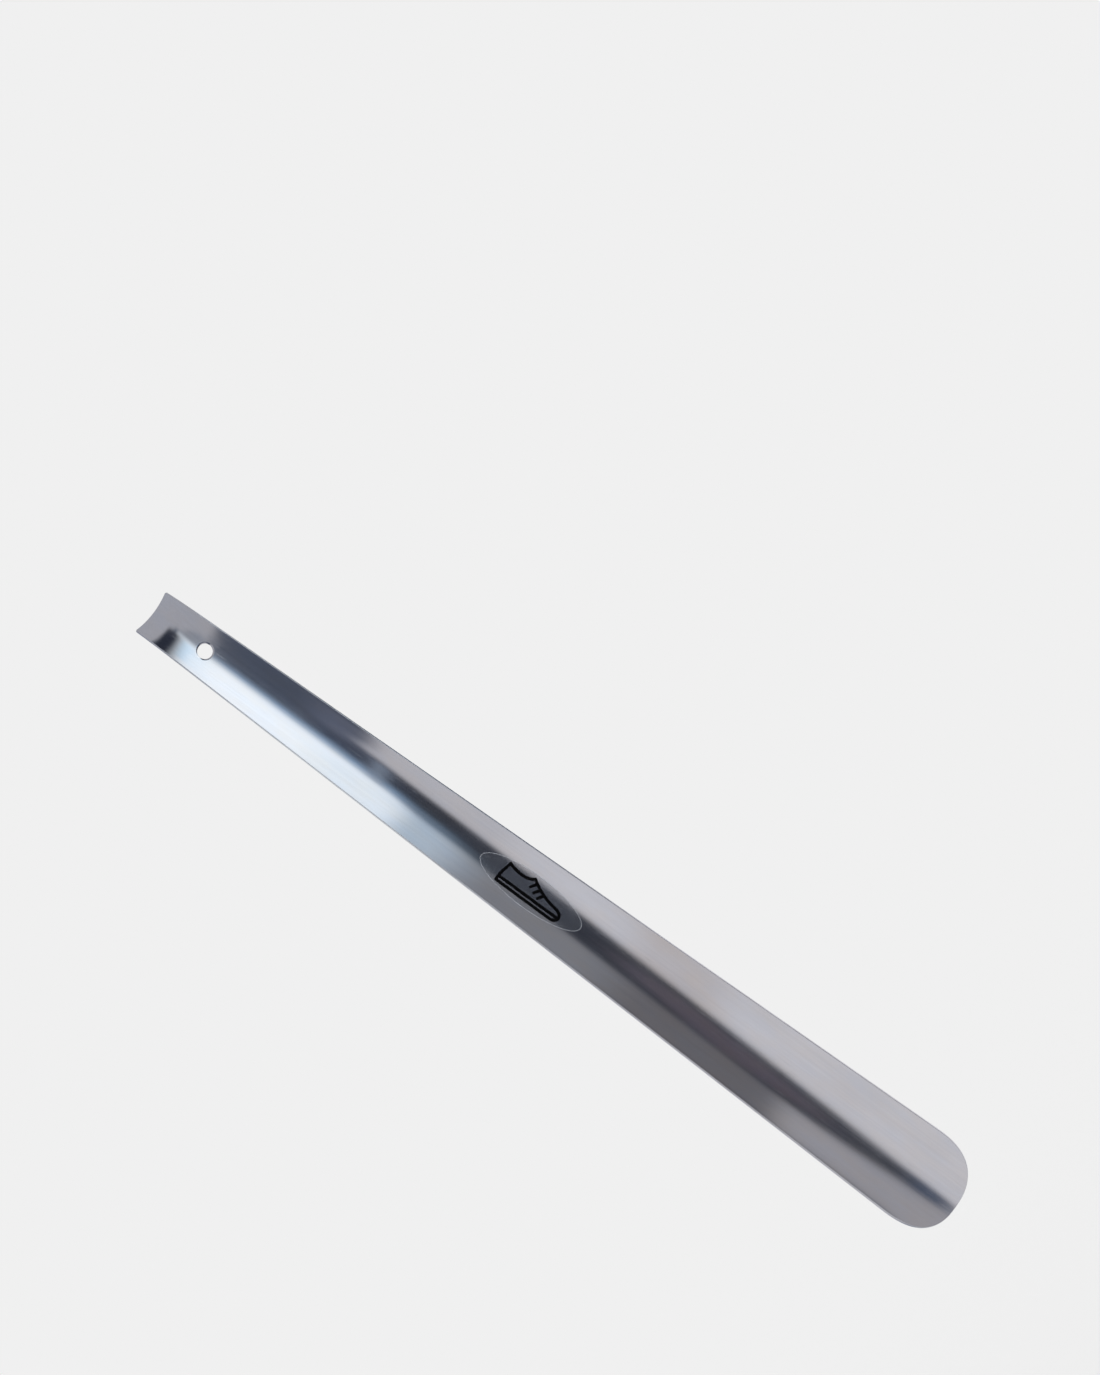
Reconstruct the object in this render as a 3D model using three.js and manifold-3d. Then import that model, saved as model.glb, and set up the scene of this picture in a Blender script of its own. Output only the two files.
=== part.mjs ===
// Long shoehorn: one stamped and rolled sheet-steel channel with a clear oval label inside it.
//
// Millimetres. +Z runs up the blade to the handle end, the foot points down, and the hollow of
// the channel faces -Y. The origin is the centre of the hanging hole, on the hollow's floor.
//
// Every surface is worked out from one function, sheetPoint, which takes a distance down the
// sheet from its handle end, a share of the half width, and a height above the hollow's floor.

import * as THREE from 'three';
import Module from 'manifold-3d';
import { mergeVertices } from 'three/addons/utils/BufferGeometryUtils.js';

// The sheet
const SHEET_LENGTH = 419.2;
const SHEET_THICKNESS = 1.0;
const HANDLE_HALF_WIDTH = 10.15;   // at the handle end, on the hollow's side
const FOOT_HALF_WIDTH = 20.65;     // where the straight taper would meet the foot tip
const HANDLE_ROLL_RADIUS = 19;     // radius of the channel across the handle end
const FOOT_ROLL_RADIUS = 30;       // radius of the channel across the foot

// The round foot, a superellipse
const FOOT_ROUND_LENGTH = 26;
const FOOT_ROUND_EXPONENT = 2.4;

// The lip at the handle end, curled back out of the hollow
const LIP_LENGTH = 27;
const LIP_ANGLE = THREE.MathUtils.degToRad(19);

// The hanging hole
const HOLE_DIAMETER = 6.5;
const HOLE_FROM_END = 28;
const HOLE_SIDES = 48;

// The label: clear film with a dark print on it
const LABEL_FROM_END = 198.5;
const LABEL_LENGTH = 52;
const LABEL_WIDTH = 15;
const LAYER_GAP = 0.3;
const LAYER_THICKNESS = 0.3;
const STROKE_WIDTH = 1.3;
const STROKE_STEPS = 16;
const DISC_SIDES = 16;

// Fineness
const ROLL_COLUMNS = 24;           // facets across the sheet, closer together near its edges
const LIP_ROWS = 12;
const SHANK_ROWS = 17;
const FOOT_ROWS = 12;
const FOOT_ZONE = 60;              // stretch over which straight rows bend into the round foot
const OVAL_SIDES = 64;
const UNDER_LABEL_SHARE = 0.75;    // share of the half width that the rows under the label span
const PUNCH_DEPTH = 60;            // far more than the whole blade is deep
const MERGE_DISTANCE = 1e-5;

// Colours
const STEEL = { color: 0x9d9da4, roughness: 0.32, metalness: 1.0 };
const CLEAR_FILM = { color: 0xd9dde2, roughness: 0.15, metalness: 0.0 };
const DARK_INK = { color: 0x15161a, roughness: 0.45, metalness: 0.0 };

const FOOT_START = SHEET_LENGTH - FOOT_ZONE;

const wasm = await Module();
wasm.setup();

// ---------------------------------------------------------------------------------------------
// The sheet's surface

function halfWidth(distance) {
  return THREE.MathUtils.lerp(HANDLE_HALF_WIDTH, FOOT_HALF_WIDTH, distance / SHEET_LENGTH);
}

function rollRadius(distance) {
  return THREE.MathUtils.lerp(HANDLE_ROLL_RADIUS, FOOT_ROLL_RADIUS, distance / SHEET_LENGTH);
}

// The floor line of the hollow. It is straight but for the lip, where the slope grows with the
// square of the way along it; the series below is the exact curve to within 0.002 mm.
function floorLine(distance) {
  const share = Math.max(0, 1 - distance / LIP_LENGTH);
  const slope = LIP_ANGLE * share ** 2;
  const back = LIP_LENGTH * ((LIP_ANGLE * share ** 3) / 3 - (LIP_ANGLE ** 3 * share ** 7) / 42);
  const shortening = (LIP_LENGTH * LIP_ANGLE ** 2 * share ** 5) / 10;
  return { slope, y: back, z: HOLE_FROM_END - distance - shortening };
}

function sheetPoint(distance, widthShare, height) {
  const radius = rollRadius(distance);
  const angle = Math.asin((halfWidth(distance) * widthShare) / radius);
  const x = (radius - height) * Math.sin(angle);
  const rise = (radius - height) * Math.cos(angle) - radius;
  const floor = floorLine(distance);
  return new THREE.Vector3(
    x,
    floor.y + rise * Math.cos(floor.slope),
    floor.z - rise * Math.sin(floor.slope),
  );
}

// Where the foot's round edge lies, for a share of the half width.
function footEdge(widthShare) {
  const share = Math.min(1, Math.abs(widthShare)) ** FOOT_ROUND_EXPONENT;
  const reach = (1 - share) ** (1 / FOOT_ROUND_EXPONENT);
  return SHEET_LENGTH - FOOT_ROUND_LENGTH * (1 - reach);
}

// Rows are straight down to FOOT_START, and then bend evenly into the round edge.
function rowDistance(station, widthShare) {
  if (station <= FOOT_START) return station;
  const share = (station - FOOT_START) / FOOT_ZONE;
  return THREE.MathUtils.lerp(FOOT_START, footEdge(widthShare), share);
}

function stations() {
  const lip = Array.from({ length: LIP_ROWS }, (_, i) => (i * LIP_LENGTH) / LIP_ROWS);
  const shankStep = (FOOT_START - LIP_LENGTH) / SHANK_ROWS;
  const shank = Array.from({ length: SHANK_ROWS }, (_, i) => LIP_LENGTH + i * shankStep);
  const foot = Array.from({ length: FOOT_ROWS + 1 }, (_, i) => FOOT_START + (i * FOOT_ZONE) / FOOT_ROWS);
  return [...lip, ...shank, ...foot];
}

function widthShares() {
  const turn = (i) => (i / ROLL_COLUMNS - 0.5) * Math.PI;
  return Array.from({ length: ROLL_COLUMNS + 1 }, (_, i) => Math.sin(turn(i)));
}

// ---------------------------------------------------------------------------------------------
// Solids

// A closed solid between two heights above the hollow's floor, on the given rows and columns.
function layerGeometry(rows, columns, low, high) {
  const wide = columns.length;
  const skin = rows.length * wide;
  const positions = [];
  for (const height of [high, low]) {
    for (const row of rows) {
      for (const column of columns) {
        positions.push(...sheetPoint(rowDistance(row, column), column, height).toArray());
      }
    }
  }
  const faces = [];
  const quad = (a, b, c, d) => faces.push(a, b, c, a, c, d);
  const at = (row, column) => row * wide + column;
  for (let r = 0; r + 1 < rows.length; r += 1) {
    for (let c = 0; c + 1 < wide; c += 1) {
      const [a, b, d, e] = [at(r, c), at(r + 1, c), at(r + 1, c + 1), at(r, c + 1)];
      quad(a, b, d, e);
      quad(skin + e, skin + d, skin + b, skin + a);
    }
  }
  const wall = (from, to) => quad(from, skin + from, skin + to, to);
  const lastRow = rows.length - 1;
  const lastColumn = wide - 1;
  for (let r = 0; r < lastRow; r += 1) {
    wall(at(r, 0), at(r + 1, 0));
    wall(at(r + 1, lastColumn), at(r, lastColumn));
  }
  for (let c = 0; c < lastColumn; c += 1) {
    wall(at(0, c + 1), at(0, c));
    wall(at(lastRow, c), at(lastRow, c + 1));
  }
  const geometry = new THREE.BufferGeometry();
  geometry.setAttribute('position', new THREE.Float32BufferAttribute(positions, 3));
  geometry.setIndex(faces);
  return geometry;
}

function toManifold(geometry) {
  const bare = geometry.clone();
  bare.deleteAttribute('normal');
  bare.deleteAttribute('uv');
  const merged = mergeVertices(bare, MERGE_DISTANCE);
  return new wasm.Manifold(new wasm.Mesh({
    numProp: 3,
    vertProperties: new Float32Array(merged.attributes.position.array),
    triVerts: new Uint32Array(merged.index.array),
  }));
}

function toGeometry(solid) {
  const mesh = solid.getMesh();
  const geometry = new THREE.BufferGeometry();
  geometry.setAttribute('position', new THREE.BufferAttribute(mesh.vertProperties, 3));
  geometry.setIndex(new THREE.BufferAttribute(mesh.triVerts, 1));
  geometry.computeVertexNormals();
  return geometry;
}

// A prism along Y, through the whole sheet, from a shape drawn in the XZ plane.
function punch(shape) {
  const geometry = new THREE.ExtrudeGeometry(shape, {
    depth: PUNCH_DEPTH,
    bevelEnabled: false,
    curveSegments: OVAL_SIDES / 2,
  });
  geometry.rotateX(Math.PI / 2);
  geometry.translate(0, PUNCH_DEPTH / 2, 0);
  return toManifold(geometry);
}

// ---------------------------------------------------------------------------------------------
// The blade

function bladeGeometry() {
  const sheet = toManifold(layerGeometry(stations(), widthShares(), -SHEET_THICKNESS, 0));
  const radius = HOLE_DIAMETER / 2;
  const bore = toManifold(new THREE.CylinderGeometry(radius, radius, PUNCH_DEPTH, HOLE_SIDES));
  return toGeometry(sheet.subtract(bore));
}

// ---------------------------------------------------------------------------------------------
// The label, drawn with its own x down the blade and its own y across it, from its centre

function fromLabel(along, across) {
  return new THREE.Vector2(across, HOLE_FROM_END - LABEL_FROM_END - along);
}

// The stretch of the sheet under the label, on the blade's own rows and columns.
function labelLayer(low, high) {
  const rows = stations().filter((station) => Math.abs(station - LABEL_FROM_END) < LABEL_LENGTH);
  const columns = widthShares().filter((share) => Math.abs(share) < UNDER_LABEL_SHARE);
  return toManifold(layerGeometry(rows, columns, low, high));
}

function filmGeometry() {
  const centre = fromLabel(0, 0);
  const oval = new THREE.Shape();
  oval.absellipse(centre.x, centre.y, LABEL_WIDTH / 2, LABEL_LENGTH / 2, 0, 2 * Math.PI);
  const film = labelLayer(LAYER_GAP, LAYER_GAP + LAYER_THICKNESS);
  return toGeometry(film.intersect(punch(oval)));
}

// A pictogram of a laced shoe, toe towards the foot of the blade, as a set of pen strokes.
function shoeStrokes() {
  const point = (x, y) => new THREE.Vector2(x, y);
  const line = (a, b) => new THREE.LineCurve(a, b);
  const bend = (a, b, c, d) => new THREE.CubicBezierCurve(a, b, c, d);
  const heel = point(-15, -4.5);
  const ball = point(12.5, -4.5);
  const toe = point(12.6, 0.4);
  const tongue = point(-1.5, 5.4);
  const heelTab = point(-13.8, 4.6);
  const outline = [
    line(heel, ball),
    bend(ball, point(17, -4.5), point(17, -0.2), toe),
    bend(toe, point(7.5, 1.0), point(3.0, 2.4), tongue),
    bend(tongue, point(-4, 3.0), point(-9, 3.0), heelTab),
    bend(heelTab, point(-14.2, 2), point(-15.4, -1), heel),
  ];
  const sole = line(point(-15, -2.5), point(15.5, -2.5));
  const lace = (x, y) => line(point(x, y), point(x - 1.7, y - 2.6));
  const laces = [lace(0.4, 4.2), lace(3.0, 3.0), lace(5.6, 2.0)];
  return [...outline, sole, ...laces];
}

function strokePrism(curve) {
  const left = [];
  const right = [];
  for (let i = 0; i <= STROKE_STEPS; i += 1) {
    const at = curve.getPoint(i / STROKE_STEPS);
    const way = curve.getTangent(i / STROKE_STEPS);
    const side = new THREE.Vector2(-way.y, way.x).multiplyScalar(STROKE_WIDTH / 2);
    left.push(fromLabel(at.x + side.x, at.y + side.y));
    right.unshift(fromLabel(at.x - side.x, at.y - side.y));
  }
  return punch(new THREE.Shape([...left, ...right]));
}

function strokeEnd(at) {
  const disc = new THREE.Shape();
  const centre = fromLabel(at.x, at.y);
  const turn = (i) => (i / DISC_SIDES) * 2 * Math.PI;
  const rim = Array.from({ length: DISC_SIDES }, (_, i) => new THREE.Vector2(
    centre.x + (STROKE_WIDTH / 2) * Math.cos(turn(i)),
    centre.y + (STROKE_WIDTH / 2) * Math.sin(turn(i)),
  ));
  disc.setFromPoints(rim);
  return punch(disc);
}

function printGeometry() {
  const prisms = shoeStrokes().flatMap((curve) => [
    strokePrism(curve),
    strokeEnd(curve.getPoint(0)),
    strokeEnd(curve.getPoint(1)),
  ]);
  const drawing = prisms.reduce((joined, prism) => joined.add(prism));
  const low = 2 * LAYER_GAP + LAYER_THICKNESS;
  return toGeometry(labelLayer(low, low + LAYER_THICKNESS).intersect(drawing));
}

// ---------------------------------------------------------------------------------------------

function piece(name, geometry, finish) {
  const mesh = new THREE.Mesh(geometry, new THREE.MeshStandardMaterial(finish));
  mesh.name = name;
  return mesh;
}

const shoehorn = new THREE.Group();
shoehorn.add(
  piece('blade', bladeGeometry(), STEEL),
  piece('label_film', filmGeometry(), CLEAR_FILM),
  piece('label_print', printGeometry(), DARK_INK),
);

export default shoehorn;
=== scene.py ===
"""A long shoehorn of brushed stainless steel with a clear oval label, hung upright by its hole.

Metres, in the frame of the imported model: +Z runs up the blade to its handle end, the hollow of
the channel faces -Y, and the origin is the centre of the hanging hole on the hollow's floor.
"""

import math

import bmesh
import bpy
from mathutils import Matrix, Vector


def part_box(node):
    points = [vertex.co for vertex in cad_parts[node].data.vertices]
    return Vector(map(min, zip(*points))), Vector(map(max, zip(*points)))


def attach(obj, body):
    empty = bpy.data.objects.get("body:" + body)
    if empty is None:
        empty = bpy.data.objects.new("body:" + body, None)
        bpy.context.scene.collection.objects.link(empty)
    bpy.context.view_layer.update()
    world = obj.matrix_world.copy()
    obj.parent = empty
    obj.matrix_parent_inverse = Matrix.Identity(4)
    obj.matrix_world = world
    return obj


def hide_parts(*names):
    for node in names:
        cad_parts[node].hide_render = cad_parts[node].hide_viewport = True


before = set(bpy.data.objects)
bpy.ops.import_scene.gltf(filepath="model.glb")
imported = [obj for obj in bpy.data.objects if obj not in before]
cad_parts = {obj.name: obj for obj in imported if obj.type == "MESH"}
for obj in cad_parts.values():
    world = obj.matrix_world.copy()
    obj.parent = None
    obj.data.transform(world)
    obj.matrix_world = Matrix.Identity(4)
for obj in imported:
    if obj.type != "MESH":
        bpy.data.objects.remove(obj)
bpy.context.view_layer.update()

BLADE_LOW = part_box("blade")[0]
MM = 0.001

# The sheet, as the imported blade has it
HOLE_FROM_END = 28 * MM
SHEET_LENGTH = HOLE_FROM_END - BLADE_LOW.z
SHEET_THICKNESS = 1.0 * MM
HANDLE_HALF_WIDTH = 10.15 * MM
FOOT_HALF_WIDTH = 20.65 * MM
HANDLE_ROLL_RADIUS = 19 * MM
FOOT_ROLL_RADIUS = 30 * MM
FOOT_ROUND_LENGTH = 26 * MM
FOOT_ROUND_EXPONENT = 2.4
LIP_LENGTH = 27 * MM
LIP_ANGLE = math.radians(19)
HOLE_RADIUS = 3.25 * MM

# What the press and the tumbler leave on its edges
EDGE_RADIUS = 0.15 * MM
EDGE_SUPPORT = 0.08 * MM           # a narrow flat strip that keeps the shading of the faces true
EDGE_STEPS = 4
INSET = EDGE_RADIUS + EDGE_SUPPORT
CORNER_RADIUS = 0.5 * MM
HOLE_BEVEL_WIDTH = 0.65 * MM       # the sheet drawn down where the punch went in
HOLE_BEVEL_DEPTH = 0.15 * MM
HOLE_EDGE_RADIUS = 0.1 * MM

# Fineness of the sheet's mesh
COLUMNS = 40
HANDLE_ZONE = 22 * MM
HANDLE_ROWS = 16
HOLE_ZONE = 12 * MM
HOLE_ROWS = 8
HOLE_WINDOW_COLUMNS = 8            # on each side of the middle
HOLE_RINGS = 5
SHANK_PITCH = 5 * MM
FOOT_ZONE = 60 * MM
FOOT_ROWS = 36
FOOT_START = SHEET_LENGTH - FOOT_ZONE
CORNER_ZONE = 3 * MM

# The label
LABEL_FROM_END = HOLE_FROM_END - sum(corner.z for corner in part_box("label_film")) / 2
LABEL_HALF_LENGTH = (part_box("label_film")[1].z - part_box("label_film")[0].z) / 2
LABEL_HALF_WIDTH = (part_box("label_film")[1].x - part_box("label_film")[0].x) / 2
FILM_GAP = 0.02 * MM
FILM_THICKNESS = 0.08 * MM
FILM_RIM = 0.25 * MM
FILM_RINGS = 12
FILM_SIDES = 96
INK_THICKNESS = 0.02 * MM
STROKE_WIDTH = 1.3 * MM
STROKE_STEPS = 24
DISC_SIDES = 20
INK_GAP = FILM_GAP / 4             # between the film and the print
MERGE_DISTANCE = 0.001 * MM        # points closer than this are one point


# --------------------------------------------------------------------------------------------
# The sheet's surface

def mix(a, b, share):
    return a + (b - a) * share


def half_width(distance):
    return mix(HANDLE_HALF_WIDTH, FOOT_HALF_WIDTH, distance / SHEET_LENGTH)


def roll_radius(distance):
    return mix(HANDLE_ROLL_RADIUS, FOOT_ROLL_RADIUS, distance / SHEET_LENGTH)


def face_half_width(distance):
    """Half width of the flat face, which stops short of the rounded edge."""
    radius = roll_radius(distance)
    return radius * math.sin(math.asin(half_width(distance) / radius) - INSET / radius)


def floor_line(distance):
    """Slope, y and z of the hollow's floor. The lip's slope grows with the square of the way."""
    share = max(0.0, 1 - distance / LIP_LENGTH)
    slope = LIP_ANGLE * share ** 2
    back = LIP_LENGTH * (LIP_ANGLE * share ** 3 / 3 - LIP_ANGLE ** 3 * share ** 7 / 42)
    shortening = LIP_LENGTH * LIP_ANGLE ** 2 * share ** 5 / 10
    return slope, back, HOLE_FROM_END - distance - shortening


def surface_point(distance, across, height):
    """A point on the sheet: across is the distance from its middle plane, in a straight line."""
    radius = roll_radius(distance)
    angle = math.asin(across / radius)
    rise = (radius - height) * math.cos(angle) - radius
    slope, y, z = floor_line(distance)
    return Vector((
        (radius - height) * math.sin(angle),
        y + rise * math.cos(slope),
        z - rise * math.sin(slope),
    ))


def handle_edge(share):
    """Distance of the handle end's edge, square but for its two rounded corners."""
    corner = CORNER_RADIUS / HANDLE_HALF_WIDTH
    into = max(0.0, (abs(share) - 1 + corner) / corner)
    return INSET + (CORNER_RADIUS - INSET) * (1 - math.sqrt(max(0.0, 1 - into ** 2)))


def foot_edge(share):
    """Distance of the foot's edge, a superellipse."""
    power = min(1.0, abs(share)) ** FOOT_ROUND_EXPONENT
    reach = (1 - power) ** (1 / FOOT_ROUND_EXPONENT)
    return SHEET_LENGTH - FOOT_ROUND_LENGTH + (FOOT_ROUND_LENGTH - INSET) * reach


def row_distance(station, share):
    """Rows are straight along the shank, and bend evenly into the edge at either end."""
    if station < CORNER_ZONE:
        return mix(handle_edge(share), CORNER_ZONE, station / CORNER_ZONE)
    if station <= FOOT_START:
        return station
    return mix(FOOT_START, foot_edge(share), (station - FOOT_START) / FOOT_ZONE)


def spread(start, length, count):
    return [start + length * i / count for i in range(count)]


def sheet_stations():
    hole_end = HANDLE_ZONE + HOLE_ZONE
    shank_rows = round((FOOT_START - hole_end) / SHANK_PITCH)
    return [
        *spread(0, HANDLE_ZONE, HANDLE_ROWS),
        *spread(HANDLE_ZONE, HOLE_ZONE, HOLE_ROWS),
        *spread(hole_end, FOOT_START - hole_end, shank_rows),
        *spread(FOOT_START, FOOT_ZONE, FOOT_ROWS),
        SHEET_LENGTH,
    ]


def sheet_shares():
    return [math.sin((i / COLUMNS - 0.5) * math.pi) for i in range(COLUMNS + 1)]


# --------------------------------------------------------------------------------------------
# Mesh building

class MeshBuilder:
    """Vertices and faces of one mesh, with a UV map: u across the blade, v along it."""

    def __init__(self):
        self.points = []
        self.faces = []
        self.slots = []

    def add(self, point):
        self.points.append(point)
        return len(self.points) - 1

    def face(self, *corners, slot=0):
        self.faces.append(corners)
        self.slots.append(slot)

    def band(self, ring_a, ring_b, slot=0):
        """Quads between two closed rings of equal length."""
        for i in range(len(ring_a)):
            j = (i + 1) % len(ring_a)
            self.face(ring_a[i], ring_a[j], ring_b[j], ring_b[i], slot=slot)

    def to_object(self, name, *materials):
        mesh = bpy.data.meshes.new(name)
        mesh.from_pydata(self.points, [], self.faces)
        mesh.polygons.foreach_set("material_index", self.slots)
        mesh.polygons.foreach_set("use_smooth", [True] * len(self.faces))
        outward_normals(mesh)
        lay_uv(mesh)
        for material in materials:
            mesh.materials.append(material)
        obj = bpy.data.objects.new(name, mesh)
        bpy.context.scene.collection.objects.link(obj)
        return obj


def outward_normals(mesh):
    work = bmesh.new()
    work.from_mesh(mesh)
    bmesh.ops.recalc_face_normals(work, faces=work.faces)
    work.to_mesh(mesh)
    work.free()


def lay_uv(mesh):
    """The brushing runs along v. Front and back share the map."""
    layer = mesh.uv_layers.new(name="brushing")
    for loop in mesh.loops:
        point = mesh.vertices[loop.vertex_index].co
        across = math.atan2(point.x, FOOT_ROLL_RADIUS + point.y)
        layer.data[loop.index].uv = (across / math.pi + 0.5, point.z / SHEET_LENGTH)


# --------------------------------------------------------------------------------------------
# The blade

def sheet_grid(build, height):
    """The sheet's face at one height, with a window left open round the hole.
    Returns the ring of its outer edge and the ring of the window."""
    stations = sheet_stations()
    shares = sheet_shares()
    ids = []
    for station in stations:
        row = []
        for share in shares:
            distance = row_distance(station, share)
            across = face_half_width(distance) * share
            row.append(build.add(surface_point(distance, across, height)))
        ids.append(row)

    middle = COLUMNS // 2
    left, right = middle - HOLE_WINDOW_COLUMNS, middle + HOLE_WINDOW_COLUMNS
    top, bottom = HANDLE_ROWS, HANDLE_ROWS + HOLE_ROWS
    for r in range(len(stations) - 1):
        for c in range(COLUMNS):
            if top <= r < bottom and left <= c < right:
                continue
            build.face(ids[r][c], ids[r][c + 1], ids[r + 1][c + 1], ids[r + 1][c])
    edge = frame_ring(ids, 0, len(stations) - 1, 0, COLUMNS)
    window = frame_ring(ids, top, bottom, left, right)
    return edge, window


def frame_ring(ids, top, bottom, left, right):
    """The ids round a rectangle of the grid, in one closed ring."""
    return [
        *(ids[top][c] for c in range(left, right)),
        *(ids[r][right] for r in range(top, bottom)),
        *(ids[bottom][c] for c in range(right, left, -1)),
        *(ids[r][left] for r in range(bottom, top, -1)),
    ]


def edge_profile():
    """(outward, height) steps from the front face's rim round to the back face's rim."""
    quarter = [math.pi / 2 * k / EDGE_STEPS for k in range(EDGE_STEPS + 1)]
    front = [
        (EDGE_SUPPORT + EDGE_RADIUS * math.sin(a), EDGE_RADIUS * (math.cos(a) - 1))
        for a in quarter
    ]
    back = [(outward, -SHEET_THICKNESS - height) for outward, height in reversed(front)]
    return front + back


def edge_band(build, front_ring, back_ring):
    """The rounded edge all the way round the sheet."""
    front = [build.points[i] for i in front_ring]
    back = [build.points[i] for i in back_ring]
    count = len(front)
    rings = [front_ring]
    for outward, height in edge_profile():
        ring = []
        for i in range(count):
            along = front[(i + 1) % count] - front[i - 1]
            inward = (back[i] - front[i]).normalized()
            out = along.cross(inward).normalized()
            ring.append(build.add(front[i] + out * outward - inward * height))
        rings.append(ring)
    rings.append(back_ring)
    for ring_a, ring_b in zip(rings[1:], rings[2:-1]):
        build.band(ring_a, ring_b, slot=1)
    build.band(rings[0], rings[1])
    build.band(rings[-2], rings[-1])


def hole_ring(build, window, radius, height):
    """A ring round the hole with one point towards each point of the window's ring."""
    ring = []
    for i in window:
        x, z = build.points[i].x, build.points[i].z
        scale = radius / math.hypot(x, z)
        ring.append(build.add(surface_point(HOLE_FROM_END - z * scale, x * scale, height)))
    return ring


def hole_face(build, window, rim_radius, height):
    """The face between the window and the hole's rim, in rings that close up towards the rim."""
    corners = [(build.points[i].x, build.points[i].z) for i in window]
    ring = window
    for step in range(1, HOLE_RINGS + 1):
        share = 1 - (1 - step / HOLE_RINGS) ** 2
        points = []
        for x, z in corners:
            reach = math.hypot(x, z)
            scale = mix(1, (rim_radius + EDGE_SUPPORT) / reach, share)
            points.append(build.add(surface_point(HOLE_FROM_END - z * scale, x * scale, height)))
        build.band(ring, points)
        ring = points
    return ring


def hole_profile():
    """(radius, height) steps through the hole: a shallow bevel and a small round edge in front,
    and a round edge at the back."""
    shares = [k / EDGE_STEPS for k in range(EDGE_STEPS + 1)]
    quarter = [math.pi / 2 * share for share in shares]
    rim = HOLE_RADIUS + HOLE_EDGE_RADIUS
    bevel = [
        (rim + HOLE_BEVEL_WIDTH * (1 - share), -HOLE_BEVEL_DEPTH * share ** 2)
        for share in shares
    ]
    front_edge = [
        (
            rim - HOLE_EDGE_RADIUS * math.sin(a),
            HOLE_EDGE_RADIUS * (math.cos(a) - 1) - HOLE_BEVEL_DEPTH,
        )
        for a in quarter[1:]
    ]
    back_edge = [
        (
            rim - HOLE_EDGE_RADIUS * math.cos(a),
            HOLE_EDGE_RADIUS * (1 - math.sin(a)) - SHEET_THICKNESS,
        )
        for a in quarter
    ]
    return bevel + front_edge, back_edge


def hole_band(build, window, front_ring, back_ring):
    """The hole's wall, with its bevelled front edge and its round back edge."""
    front, back = hole_profile()
    rings = [front_ring]
    rings += [hole_ring(build, window, radius, height) for radius, height in front + back]
    rings.append(back_ring)
    wall = len(front)
    for i, (ring_a, ring_b) in enumerate(zip(rings, rings[1:])):
        build.band(ring_a, ring_b, slot=1 if i == wall else 0)


def make_blade(face_material, edge_material):
    build = MeshBuilder()
    front_edge, front_window = sheet_grid(build, 0)
    back_edge, back_window = sheet_grid(build, -SHEET_THICKNESS)
    edge_band(build, front_edge, back_edge)
    rim = HOLE_RADIUS + HOLE_EDGE_RADIUS
    front_rim = hole_face(build, front_window, rim + HOLE_BEVEL_WIDTH, 0)
    back_rim = hole_face(build, back_window, rim, -SHEET_THICKNESS)
    hole_band(build, front_window, front_rim, back_rim)
    return build.to_object("blade_sheet", face_material, edge_material)


# --------------------------------------------------------------------------------------------
# The label

def make_film(film, rim):
    """A thin oval that follows the hollow, with a narrow frosted rim."""
    build = MeshBuilder()
    low, high = FILM_GAP, FILM_GAP + FILM_THICKNESS

    def ring(inset, height, scale=1.0):
        points = []
        for i in range(FILM_SIDES):
            turn = 2 * math.pi * i / FILM_SIDES
            along = (LABEL_HALF_LENGTH - inset) * scale * math.cos(turn)
            across = (LABEL_HALF_WIDTH - inset) * scale * math.sin(turn)
            points.append(build.add(surface_point(LABEL_FROM_END + along, across, height)))
        return points

    def face(height):
        start = ring(FILM_RIM, height)
        outer = start
        for step in range(1, FILM_RINGS):
            inner = ring(FILM_RIM, height, 1 - step / FILM_RINGS)
            build.band(outer, inner)
            outer = inner
        centre = build.add(surface_point(LABEL_FROM_END, 0, height))
        for i in range(FILM_SIDES):
            build.face(outer[i], outer[(i + 1) % FILM_SIDES], centre)
        return start

    top = face(high)
    edge_high = ring(FILM_THICKNESS, high)
    edge_mid = ring(0, (low + high) / 2)
    edge_low = ring(FILM_THICKNESS, low)
    bottom = face(low)
    rings = (top, edge_high, edge_mid, edge_low, bottom)
    for ring_a, ring_b in zip(rings, rings[1:]):
        build.band(ring_a, ring_b, slot=1)
    return build.to_object("label_clear_film", film, rim)


def bezier(a, b, c, d, share):
    """A point on a cubic curve from a to d that leaves towards b and arrives from c."""
    rest = 1 - share
    return (
        a * rest ** 3 + b * 3 * rest ** 2 * share + c * 3 * rest * share ** 2 + d * share ** 3
    )


def shoe_strokes():
    """A pictogram of a laced shoe, in millimetres from the label's centre, x towards the foot."""
    heel, ball = Vector((-15, -4.5)), Vector((12.5, -4.5))
    toe, tongue, heel_tab = Vector((12.6, 0.4)), Vector((-1.5, 5.4)), Vector((-13.8, 4.6))
    curves = [
        (ball, Vector((17, -4.5)), Vector((17, -0.2)), toe),
        (toe, Vector((7.5, 1.0)), Vector((3.0, 2.4)), tongue),
        (tongue, Vector((-4, 3.0)), Vector((-9, 3.0)), heel_tab),
        (heel_tab, Vector((-14.2, 2)), Vector((-15.4, -1)), heel),
    ]
    lines = [(heel, ball), (Vector((-15, -2.5)), Vector((15.5, -2.5)))]
    for x, y in ((0.4, 4.2), (3.0, 3.0), (5.6, 2.0)):
        lines.append((Vector((x, y)), Vector((x - 1.7, y - 2.6))))
    shares = [i / STROKE_STEPS for i in range(STROKE_STEPS + 1)]
    strokes = [[bezier(*curve, share) * MM for share in shares] for curve in curves]
    strokes += [[a.lerp(b, share) * MM for share in shares] for a, b in lines]
    return strokes


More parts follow.
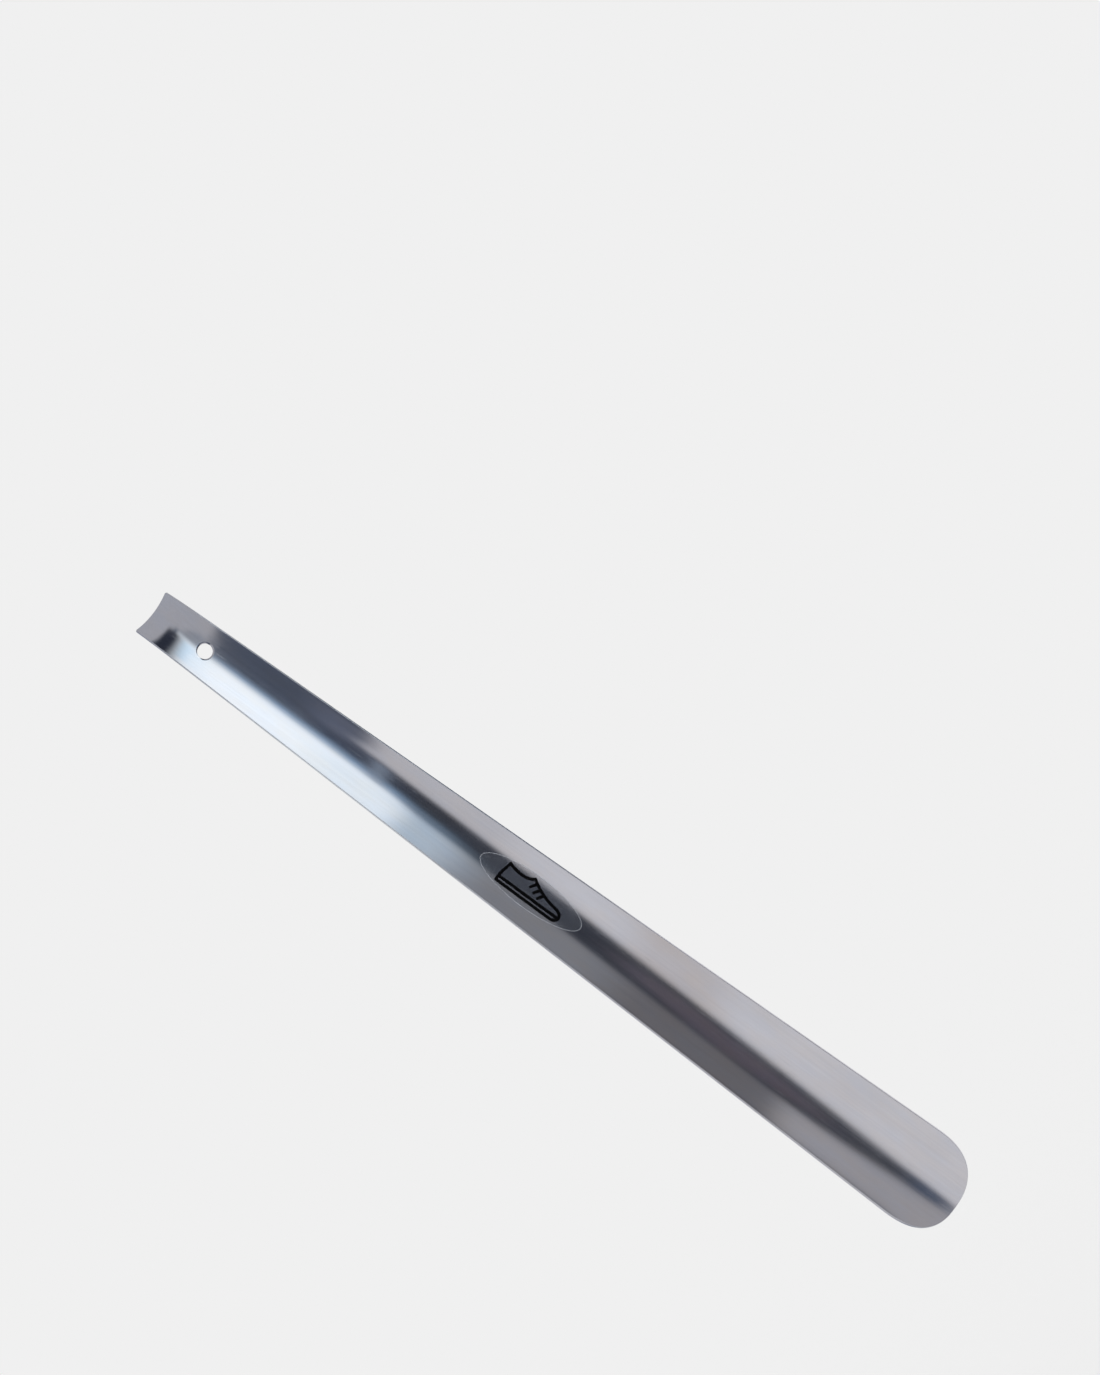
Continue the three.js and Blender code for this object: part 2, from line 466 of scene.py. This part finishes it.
def flat_prism(outlines, depth):
    """Overlapping flat prisms, each from its own list of quads or fans, in one mesh."""
    work = bmesh.new()
    for outline in outlines:
        low = [work.verts.new((p.x, p.y, 0)) for p in outline["points"]]
        high = [work.verts.new((p.x, p.y, depth)) for p in outline["points"]]
        for face in outline["faces"]:
            work.faces.new([high[i] for i in face])
            work.faces.new([low[i] for i in reversed(face)])
        rim = outline["rim"]
        for i, j in zip(rim, rim[1:] + rim[:1]):
            work.faces.new((low[i], low[j], high[j], high[i]))
    bmesh.ops.recalc_face_normals(work, faces=work.faces)
    mesh = bpy.data.meshes.new("strokes")
    work.to_mesh(mesh)
    work.free()
    return mesh


def ribbon(points):
    """A pen stroke as a strip of quads."""
    sides = []
    for i, point in enumerate(points):
        way = (points[min(i + 1, len(points) - 1)] - points[max(i - 1, 0)]).normalized()
        normal = Vector((-way.y, way.x)) * STROKE_WIDTH / 2
        sides.append((point + normal, point - normal))
    count = len(points)
    corners = [left for left, _ in sides] + [right for _, right in sides]
    quads = [(i, count + i, count + i + 1, i + 1) for i in range(count - 1)]
    rim = list(range(count, 2 * count)) + list(range(count - 1, -1, -1))
    return {"points": corners, "faces": quads, "rim": rim}


def disc(centre):
    """The round end of a pen stroke."""
    turns = [2 * math.pi * i / DISC_SIDES for i in range(DISC_SIDES)]
    radius = STROKE_WIDTH / 2
    rim = [centre + Vector((math.cos(t), math.sin(t))) * radius for t in turns]
    fans = [(i, (i + 1) % DISC_SIDES, DISC_SIDES) for i in range(DISC_SIDES)]
    return {"points": rim + [centre], "faces": fans, "rim": list(range(DISC_SIDES))}


def merge_close_points(mesh):
    """Merges the nearly coincident points that the union of the strokes leaves."""
    work = bmesh.new()
    work.from_mesh(mesh)
    bmesh.ops.remove_doubles(work, verts=work.verts, dist=MERGE_DISTANCE)
    work.to_mesh(mesh)
    work.free()


def joined_strokes():
    """All the strokes as one flat solid, its overlaps merged away."""
    strokes = shoe_strokes()
    outlines = [ribbon(points) for points in strokes]
    # strokes that meet share one round end, so their ends are compared to the micrometre
    ends = {tuple(round(x, 6) for x in points[i]) for points in strokes for i in (0, -1)}
    outlines += [disc(Vector(end)) for end in sorted(ends)]
    source = bpy.data.objects.new("strokes", flat_prism(outlines[:1], INK_THICKNESS))
    tool = bpy.data.objects.new("stroke_tool", flat_prism(outlines[1:], INK_THICKNESS))
    for obj in (source, tool):
        bpy.context.scene.collection.objects.link(obj)
    union = source.modifiers.new("union", "BOOLEAN")
    union.operation = "UNION"
    union.solver = "EXACT"
    union.use_self = True
    union.object = tool
    bpy.context.view_layer.update()
    evaluated = source.evaluated_get(bpy.context.evaluated_depsgraph_get())
    mesh = bpy.data.meshes.new_from_object(evaluated)
    for obj in (source, tool):
        bpy.data.objects.remove(obj)
    merge_close_points(mesh)
    return mesh


def make_print(ink):
    mesh = joined_strokes()
    base = FILM_GAP + FILM_THICKNESS + INK_GAP
    for vertex in mesh.vertices:
        along, across, height = vertex.co
        vertex.co = surface_point(LABEL_FROM_END + along, across, base + height)
    mesh.name = "label_shoe_print"
    outward_normals(mesh)
    mesh.materials.clear()
    mesh.materials.append(ink)
    obj = bpy.data.objects.new("label_shoe_print", mesh)
    bpy.context.scene.collection.objects.link(obj)
    return obj


# --------------------------------------------------------------------------------------------
# Materials

class Nodes:
    """A short way to write a node tree."""

    def __init__(self, owner):
        owner.use_nodes = True
        self.tree = owner.node_tree
        self.tree.nodes.clear()

    def add(self, kind, settings=None, **inputs):
        node = self.tree.nodes.new(kind)
        for name, value in (settings or {}).items():
            setattr(node, name, value)
        for name, value in inputs.items():
            self.put(node.inputs[name.replace("_", " ")], value)
        return node

    def put(self, socket, value):
        if isinstance(value, bpy.types.NodeSocket):
            self.tree.links.new(value, socket)
        else:
            socket.default_value = value

    def math(self, operation, *values):
        node = self.tree.nodes.new("ShaderNodeMath")
        node.operation = operation
        for socket, value in zip(node.inputs, values):
            self.put(socket, value)
        return node.outputs[0]

    def weighted(self, a, share_a, b, share_b):
        """The sum of two values, each times its share."""
        return self.math(
            "ADD", self.math("MULTIPLY", a, share_a), self.math("MULTIPLY", b, share_b)
        )

    def ramp(self, value, low, high, to_low=0.0, to_high=1.0):
        """value carried smoothly from low..high to to_low..to_high."""
        node = self.add("ShaderNodeMapRange", {"interpolation_type": "SMOOTHSTEP"})
        names = ("Value", "From Min", "From Max", "To Min", "To Max")
        for name, item in zip(names, (value, low, high, to_low, to_high)):
            self.put(node.inputs[name], item)
        return node.outputs["Result"]

    def blend(self, factor, a, b, mode="MIX"):
        node = self.add("ShaderNodeMix", {"data_type": "RGBA", "blend_type": mode})
        self.put(node.inputs[0], factor)
        self.put(node.inputs[6], a)
        self.put(node.inputs[7], b)
        return node.outputs[2]

    def noise(self, position, stretch, scale, detail):
        scaled = self.add("ShaderNodeMapping", Vector=position, Scale=stretch)
        node = self.add("ShaderNodeTexNoise", Vector=scaled.outputs[0], Scale=scale, Detail=detail)
        return node.outputs[0]


def srgb(red, green, blue):
    """An 8-bit screen colour as linear RGBA."""
    def linear(value):
        value /= 255
        return value / 12.92 if value <= 0.04045 else ((value + 0.055) / 1.055) ** 2.4
    return (linear(red), linear(green), linear(blue), 1.0)


STEEL_TONE = (0.60, 0.60, 0.63)
STEEL_CONTRAST = 0.05
STEEL_COOL = (0.985, 1.0, 1.025, 1)
STEEL_WARM = (1.015, 0.998, 0.98, 1)
STEEL_ANISOTROPY = 0.98
NOISE_CORE = (0.35, 0.65)          # where most of a noise's values lie
NOISE_SPAN = (0.3, 0.7)            # where nearly all of them lie
HAIRLINE_CUT = (0.68, 0.74)        # only the rare peaks of the noise become scratches
EVEN = (1, 1, 1)                   # a smaller last number draws a pattern out along the blade
BRUSH_STRETCH = (1, 1, 0.006)
FINE_GRAIN_SCALE = 5200
FINE_GRAIN_SHARE = 0.6
COARSE_GRAIN_SCALE = 900
COARSE_GRAIN_SHARE = 0.4
BLOTCH_STRETCH = (1, 1, 0.45)
BLOTCH_SCALE = 55
HAIRLINE_STRETCH = (1, 1, 0.035)
HAIRLINE_SCALE = 2600
TINT_STRETCH = (1, 1, 0.35)
TINT_SCALE = 170
GRAIN_IN_TONE = 0.55
BLOTCH_IN_TONE = 0.45
STREAK_ROUGHNESS = (0.105, 0.135)
SMUDGE_ROUGHNESS = (-0.008, 0.012)
SCRATCH_ROUGHNESS = 0.06
SCRATCH_DEPTH = 0.3
BRUSH_RELIEF = 0.12
RELIEF_DISTANCE = 0.02 * MM

# The cut edges' numbers
EDGE_TONES = (0.94, 1.06)          # worn and bright, as shares of the steel's tone
PIT_SCALE = 2500
RUB_STRETCH = (1, 1, 0.2)
RUB_SCALE = 260
EDGE_ROUGHNESS = (0.24, 0.34)
PIT_RELIEF = 0.15

# The label's numbers
GLOSS_SHARES = (0.9, 1.15)         # the least and the most roughness, as shares of the stated one
SPECKLE_RELIEF = 0.08
SPECKLE_DISTANCE = 0.01 * MM


def make_steel():
    """Stainless sheet, brushed lengthwise, with hairline scratches and the blotches of handling."""
    material = bpy.data.materials.new("brushed_steel")
    nodes = Nodes(material)
    position = nodes.add("ShaderNodeTexCoord").outputs["Object"]
    fine = nodes.noise(position, BRUSH_STRETCH, FINE_GRAIN_SCALE, detail=2)
    coarse = nodes.noise(position, BRUSH_STRETCH, COARSE_GRAIN_SCALE, detail=4)
    grain = nodes.weighted(fine, FINE_GRAIN_SHARE, coarse, COARSE_GRAIN_SHARE)
    blotch = nodes.noise(position, BLOTCH_STRETCH, BLOTCH_SCALE, detail=3)
    hairlines = nodes.noise(position, HAIRLINE_STRETCH, HAIRLINE_SCALE, detail=1)
    scratch = nodes.ramp(hairlines, *HAIRLINE_CUT)

    tone = nodes.weighted(grain, GRAIN_IN_TONE, blotch, BLOTCH_IN_TONE)
    dark, light = ([*(c * (1 + side * STEEL_CONTRAST) for c in STEEL_TONE), 1] for side in (-1, 1))
    colour = nodes.blend(nodes.ramp(tone, *NOISE_CORE), dark, light)
    tint = nodes.noise(position, TINT_STRETCH, TINT_SCALE, detail=4)
    tint_colour = nodes.blend(nodes.ramp(tint, *NOISE_SPAN), STEEL_COOL, STEEL_WARM)
    colour = nodes.blend(1.0, colour, tint_colour, mode="MULTIPLY")

    streaks = nodes.ramp(grain, *NOISE_SPAN, *STREAK_ROUGHNESS)
    smudges = nodes.ramp(blotch, *NOISE_CORE, *SMUDGE_ROUGHNESS)
    roughness = nodes.math("ADD", streaks, smudges)
    roughness = nodes.math("ADD", roughness, nodes.math("MULTIPLY", scratch, SCRATCH_ROUGHNESS))
    relief = nodes.math("SUBTRACT", grain, nodes.math("MULTIPLY", scratch, SCRATCH_DEPTH))
    bump = nodes.add(
        "ShaderNodeBump",
        Strength=BRUSH_RELIEF, Distance=RELIEF_DISTANCE, Height=relief,
    )
    tangent = nodes.add("ShaderNodeTangent", {"direction_type": "UV_MAP", "uv_map": "brushing"})
    shader = nodes.add(
        "ShaderNodeBsdfPrincipled",
        Base_Color=colour, Metallic=1.0, Roughness=roughness, Anisotropic=STEEL_ANISOTROPY,
        Normal=bump.outputs[0], Tangent=tangent.outputs[0],
    )
    output = nodes.add("ShaderNodeOutputMaterial")
    nodes.put(output.inputs["Surface"], shader.outputs[0])
    return material


def make_edge_steel():
    """The sheet's cut edges, tumbled smooth: no brushing, but fine pits and rub marks."""
    material = bpy.data.materials.new("tumbled_edge")
    nodes = Nodes(material)
    position = nodes.add("ShaderNodeTexCoord").outputs["Object"]
    pits = nodes.noise(position, EVEN, PIT_SCALE, detail=3)
    rubs = nodes.noise(position, RUB_STRETCH, RUB_SCALE, detail=3)
    worn, bright = ([*(c * share for c in STEEL_TONE), 1] for share in EDGE_TONES)
    colour = nodes.blend(nodes.ramp(rubs, *NOISE_CORE), worn, bright)
    roughness = nodes.ramp(pits, *NOISE_SPAN, *EDGE_ROUGHNESS)
    bump = nodes.add("ShaderNodeBump", Strength=PIT_RELIEF, Distance=RELIEF_DISTANCE, Height=pits)
    shader = nodes.add(
        "ShaderNodeBsdfPrincipled",
        Base_Color=colour, Metallic=1.0, Roughness=roughness, Normal=bump.outputs[0],
    )
    output = nodes.add("ShaderNodeOutputMaterial")
    nodes.put(output.inputs["Surface"], shader.outputs[0])
    return material


def make_plastic(name, colour_a, colour_b, roughness, alpha, shine, speckle):
    """Film or ink: two close tones in fine speckles, with a slightly uneven gloss."""
    material = bpy.data.materials.new(name)
    nodes = Nodes(material)
    position = nodes.add("ShaderNodeTexCoord").outputs["Object"]
    speckles = nodes.noise(position, EVEN, speckle, detail=3)
    colour = nodes.blend(nodes.ramp(speckles, *NOISE_CORE), colour_a, colour_b)
    glossy, dull = (roughness * share for share in GLOSS_SHARES)
    gloss = nodes.ramp(speckles, *NOISE_SPAN, glossy, dull)
    bump = nodes.add(
        "ShaderNodeBump",
        Strength=SPECKLE_RELIEF, Distance=SPECKLE_DISTANCE, Height=speckles,
    )
    shader = nodes.add(
        "ShaderNodeBsdfPrincipled",
        Base_Color=colour, Roughness=gloss, Alpha=alpha, Specular_IOR_Level=shine,
        Normal=bump.outputs[0],
    )
    output = nodes.add("ShaderNodeOutputMaterial")
    nodes.put(output.inputs["Surface"], shader.outputs[0])
    return material


# --------------------------------------------------------------------------------------------
# The object

def place(piece, node):
    """Puts a piece on the part's one body, in the place of its CAD node."""
    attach(piece, "root")
    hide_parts(node)


def make_object():
    film = make_plastic(
        "clear_film", srgb(108, 113, 123), srgb(100, 106, 117),
        roughness=0.3, alpha=0.1, shine=0.25, speckle=900,
    )
    rim = make_plastic(
        "film_rim", srgb(222, 227, 236), srgb(204, 210, 220),
        roughness=0.4, alpha=0.28, shine=0.25, speckle=1500,
    )
    ink = make_plastic(
        "black_ink", srgb(2, 2, 3), srgb(7, 7, 9),
        roughness=0.5, alpha=1.0, shine=0.05, speckle=1200,
    )
    place(make_blade(make_steel(), make_edge_steel()), "blade")
    place(make_film(film, rim), "label_film")
    place(make_print(ink), "label_print")


# --------------------------------------------------------------------------------------------
# The studio

PAPER = srgb(240, 240, 240)
FLOOR_TONE = 0.8
FLOOR_SIZE = 60.0
FLOOR_DROP = 0.12
TENT_RADIUS = 0.6
TENT_HALF_HEIGHT = 2.0
TENT_SIDES = 96

# What the steel mirrors: soft panels on a ring round the blade, each painted over the ones before.
# A panel is a convex polygon, a colour and a softness. Its corners run anticlockwise on the ring
# unrolled: (bearing in degrees from -Y, positive towards -X; height in metres). Its colour is what
# the steel shows of it. Its softness is half the width of the change at a side, in metres: one
# for all sides, or one for each, starting with the side from the first corner to the second.
# Left and right are as the hollow of the blade faces them, so left is towards +X.
WALL_GREY = (151, 152, 160)
PANELS = [
    # the pale wall low down, and two slightly darker stretches of it
    ([(-130, -3.0), (130, -3.0), (130, -0.03), (-130, -0.03)], (185, 184, 190), 0.02),
    ([(-10, -0.315), (130, -0.315), (130, -0.25), (-10, -0.25)], (176, 172, 175), 0.02),
    ([(-10, -0.15), (130, -0.15), (130, -0.03), (-10, -0.03)], (174, 173, 179), 0.02),
    # the darker wall to the left
    ([(-130, -3.0), (-20, -3.0), (-20, -0.386), (-130, -0.400)], (142, 141, 147), 0.02),
    ([(-130, -0.400), (-20, -0.386), (-20, -0.12), (-130, -0.12)], (97, 96, 101), 0.02),
    ([(-130, -0.25), (-20, -0.25), (-20, -0.12), (-130, -0.12)], (118, 119, 125), 0.03),
    # a dark stand between them, with a lighter stretch on its near side, a bluish foot, and a
    # bluish and a navy patch near its top
    (
        [
            (-20, -0.505), (-10.2, -0.512), (24.8, -0.11), (28.5, 0.01), (-13, 0.01), (-31, -0.23),
            (-38, -0.41),
        ],
        (45, 48, 57), (0.02, 0.04, 0.04, 0.04, 0.04, 0.04, 0.04),
    ),
    (
        [(-26, -0.41), (-14, -0.41), (0, -0.29), (-6, -0.24), (-16, -0.24), (-33, -0.33)],
        (79, 74, 83), 0.03,
    ),
    ([(-24, -0.505), (-8, -0.505), (-6, -0.475), (-27, -0.475)], (60, 70, 90), 0.015),
    ([(-22, -0.125), (-6, -0.125), (-2, -0.075), (-22, -0.075)], (84, 100, 118), 0.03),
    ([(-9, -0.06), (27, -0.06), (27, 0.01), (-9, 0.01)], (56, 62, 78), 0.03),
    # a dark blue screen to the right, with a lighter stretch low down and a dusky arc above it
    (
        [(-20, -0.04), (40, -0.041), (85, -0.104), (85, 0.079), (-20, 0.079)],
        (68, 74, 88), (0.012, 0.012, 0.008, 0.001, 0.009),
    ),
    ([(18, -0.03), (58, -0.035), (58, 0.0), (18, 0.0)], (86, 91, 107), 0.02),
    (
        [(-9, 0.087), (20, 0.087), (14, 0.15), (-6, 0.19)],
        (128, 132, 142), (0.008, 0.03, 0.03, 0.03),
    ),
    # the softbox: the glow below it, its bluish fall-off to the right, which is dusky high up, the
    # softbox with its dimmer lower end, and a thin strip just below the screen
    (
        [(-130, -0.128), (-20, -0.128), (-20, -0.05), (-130, -0.05)],
        (164, 178, 193), (0.03, 0.06, 0.02, 0.02),
    ),
    (
        [(-130, -0.078), (-3, -0.078), (-2, 0.085), (-130, 0.085)],
        (114, 140, 169), (0.015, 0.06, 0.02, 0.02),
    ),
    (
        [(-130, 0.08), (-3, 0.08), (-2, 0.24), (-130, 0.24)],
        (104, 110, 122), (0.02, 0.05, 0.02, 0.02),
    ),
    (
        [(-130, -0.078), (-16, -0.078), (-7, 0.20), (-130, 0.20)],
        (235, 242, 250), (0.015, 0.07, 0.02, 0.02),
    ),
    (
        [(-130, -0.078), (-20, -0.078), (-30, -0.01), (-130, -0.01)],
        (222, 231, 240), (0.015, 0.03, 0.02, 0.02),
    ),
    ([(-14, -0.059), (22, -0.059), (22, -0.048), (-14, -0.048)], (120, 132, 150), 0.005),
    # a dark bar above the softbox, with a bluish edge below it
    ([(-60, 0.085), (-16, 0.085), (-14, 0.15), (-60, 0.12)], (208, 228, 245), 0.02),
    (
        [(-90, 0.099), (-12, 0.152), (-11, 0.286), (-27, 0.287), (-90, 0.209)],
        (38, 42, 54), (0.05, 0.06, 0.03, 0.03, 0.03),
    ),
    # beside the blade, where its cut edges look: to the left grey, paler low down and dark near
    # the hole's height, and to the right dusk with a pale stretch
    ([(-140, -3.0), (-92, -3.0), (-92, 3.0), (-140, 3.0)], (160, 160, 168), 0.03),
    ([(-140, -3.0), (-92, -3.0), (-92, -0.22), (-140, -0.22)], (202, 200, 208), 0.03),
    ([(-140, -0.20), (-92, -0.20), (-92, -0.05), (-140, -0.05)], (84, 89, 104), 0.03),
    ([(-140, -0.07), (-92, -0.07), (-92, 0.085), (-140, 0.085)], (66, 72, 88), 0.02),
    ([(92, -3.0), (140, -3.0), (140, 3.0), (92, 3.0)], (129, 132, 147), 0.03),
    ([(92, -0.10), (140, -0.10), (140, 0.09), (92, 0.09)], (205, 210, 214), 0.04),
    # behind it: pale paper with two dark posts, and a bright window between them
    ([(-200, -3.0), (-135, -3.0), (-135, 3.0), (-200, 3.0)], (196, 199, 204), 0.06),
    ([(135, -3.0), (200, -3.0), (200, 3.0), (135, 3.0)], (196, 199, 204), 0.06),
    ([(-162, -3.0), (-150, -3.0), (-150, 3.0), (-162, 3.0)], (92, 96, 106), 0.06),
    ([(146, -3.0), (160, -3.0), (160, 3.0), (146, 3.0)], (112, 115, 124), 0.06),
    ([(-200, -0.55), (-174, -0.55), (-174, 0.25), (-200, 0.25)], (244, 247, 251), 0.05),
    ([(172, -0.55), (200, -0.55), (200, 0.25), (172, 0.25)], (244, 247, 251), 0.05),
]


def make_world():
    """A pale room. Where the steel looks past the ring of panels, it mirrors a grey wall."""
    world = bpy.data.worlds.new("studio")
    bpy.context.scene.world = world
    nodes = Nodes(world)
    path = nodes.add("ShaderNodeLightPath")
    paper = nodes.add("ShaderNodeBackground", Color=PAPER, Strength=1.0)
    fill = nodes.add("ShaderNodeBackground", Color=PAPER, Strength=1 / FLOOR_TONE)
    mirrored = nodes.add("ShaderNodeBackground", Color=srgb(*WALL_GREY), Strength=1.0)
    soft = nodes.add("ShaderNodeMixShader")
    nodes.put(soft.inputs[0], path.outputs["Is Diffuse Ray"])
    nodes.put(soft.inputs[1], paper.outputs[0])
    nodes.put(soft.inputs[2], fill.outputs[0])
    both = nodes.add("ShaderNodeMixShader")
    nodes.put(both.inputs[0], path.outputs["Is Glossy Ray"])
    nodes.put(both.inputs[1], soft.outputs[0])
    nodes.put(both.inputs[2], mirrored.outputs[0])
    output = nodes.add("ShaderNodeOutputWorld")
    nodes.put(output.inputs["Surface"], both.outputs[0])


def make_floor():
    mesh = bpy.data.meshes.new("floor")
    half = FLOOR_SIZE / 2
    height = BLADE_LOW.z - FLOOR_DROP
    square = ((-half, -half), (half, -half), (half, half), (-half, half))
    corners = [(x, y, height) for x, y in square]
    mesh.from_pydata(corners, [], [(0, 1, 2, 3)])
    material = bpy.data.materials.new("pale_floor")
    nodes = Nodes(material)
    shader = nodes.add("ShaderNodeBsdfDiffuse", Color=(FLOOR_TONE, FLOOR_TONE, FLOOR_TONE, 1))
    output = nodes.add("ShaderNodeOutputMaterial")
    nodes.put(output.inputs["Surface"], shader.outputs[0])
    mesh.materials.append(material)
    floor = bpy.data.objects.new("floor", mesh)
    bpy.context.scene.collection.objects.link(floor)
    floor.visible_glossy = False


def on_ring(corner):
    bearing, height = corner
    return Vector((TENT_RADIUS * math.radians(bearing), height))


def shown_by_steel(colour):
    """The light that looks like this colour when the steel mirrors it."""
    light = srgb(*colour)
    return [*(light[i] / STEEL_TONE[i] for i in range(3)), 1]


def panel_mask(nodes, spot, corners, feather):
    """1 inside the panel, 0 outside, with a soft change across each of its sides."""
    mask = 1.0
    points = [on_ring(corner) for corner in corners]
    softness = feather if isinstance(feather, tuple) else (feather,) * len(points)
    for start, end, soft in zip(points, points[1:] + points[:1], softness):
        along = (end - start).normalized()
        inward = Vector((-along.y, along.x))
        line = (inward.x, inward.y, -inward.dot(start))
        inside = nodes.add("ShaderNodeVectorMath", {"operation": "DOT_PRODUCT"})
        nodes.put(inside.inputs[0], spot)
        nodes.put(inside.inputs[1], line)
        mask = nodes.math("MULTIPLY", mask, nodes.ramp(inside.outputs["Value"], -soft, soft))
    return mask


def tent_material():
    """Light that depends on the bearing and the height of a point on the tent."""
    material = bpy.data.materials.new("soft_panels")
    nodes = Nodes(material)
    position = nodes.add("ShaderNodeNewGeometry").outputs["Position"]
    x, y, height = nodes.add("ShaderNodeSeparateXYZ", Vector=position).outputs
    minus_x = nodes.math("MULTIPLY", x, -1.0)
    minus_y = nodes.math("MULTIPLY", y, -1.0)
    bearing = nodes.math("ARCTAN2", minus_x, minus_y)
    round_the_ring = nodes.math("MULTIPLY", bearing, TENT_RADIUS)
    spot = nodes.add("ShaderNodeCombineXYZ", X=round_the_ring, Y=height, Z=1.0).outputs[0]
    light = shown_by_steel(WALL_GREY)
    for corners, colour, feather in PANELS:
        mask = panel_mask(nodes, spot, corners, feather)
        light = nodes.blend(mask, light, shown_by_steel(colour))
    emission = nodes.add("ShaderNodeEmission", Color=light)
    output = nodes.add("ShaderNodeOutputMaterial")
    nodes.put(output.inputs["Surface"], emission.outputs[0])
    return material


def make_tent():
    """A ring of soft light that only the steel and the label mirror."""
    build = MeshBuilder()
    turns = [2 * math.pi * i / TENT_SIDES for i in range(TENT_SIDES)]
    around = [(TENT_RADIUS * math.cos(turn), TENT_RADIUS * math.sin(turn)) for turn in turns]
    low, high = (
        [build.add(Vector((x, y, z))) for x, y in around]
        for z in (-TENT_HALF_HEIGHT, TENT_HALF_HEIGHT)
    )
    build.band(low, high)
    tent = build.to_object("light_tent", tent_material())
    tent.visible_camera = False
    tent.visible_diffuse = False
    tent.visible_shadow = False


# --------------------------------------------------------------------------------------------
# The camera

CAMERA_DISTANCE = 1.205
CAMERA_AZIMUTH = math.radians(-6.3)
CAMERA_ELEVATION = math.radians(1.0)
CAMERA_ROLL = math.radians(-53.66)
CAMERA_LENS = 75
CAMERA_TARGET = Vector((0, 0, -182 * MM))
AIM_UP = 92.8 * MM                 # the picture's middle lies this far above the target
AIM_RIGHT = -1.2 * MM


def make_camera():
    """The photograph's viewing angle: the blade runs from upper left to lower right."""
    back = Vector((
        math.sin(CAMERA_AZIMUTH) * math.cos(CAMERA_ELEVATION),
        -math.cos(CAMERA_AZIMUTH) * math.cos(CAMERA_ELEVATION),
        math.sin(CAMERA_ELEVATION),
    ))
    level = Vector((0, 0, 1)).cross(back).normalized()
    right = (Matrix.Rotation(CAMERA_ROLL, 3, back) @ level).normalized()
    up = back.cross(right)
    place_at = CAMERA_TARGET + back * CAMERA_DISTANCE
    aim = CAMERA_TARGET + right * AIM_RIGHT + up * AIM_UP
    back = (place_at - aim).normalized()
    right = (right - back * right.dot(back)).normalized()
    up = back.cross(right)
    data = bpy.data.cameras.new("camera")
    data.lens = CAMERA_LENS
    camera = bpy.data.objects.new("camera", data)
    camera.matrix_world = Matrix((
        (right.x, up.x, back.x, place_at.x),
        (right.y, up.y, back.y, place_at.y),
        (right.z, up.z, back.z, place_at.z),
        (0, 0, 0, 1),
    ))
    bpy.context.scene.collection.objects.link(camera)
    bpy.context.scene.camera = camera


bpy.context.scene.view_settings.view_transform = "Standard"
make_camera()
make_world()
make_floor()
make_tent()
make_object()
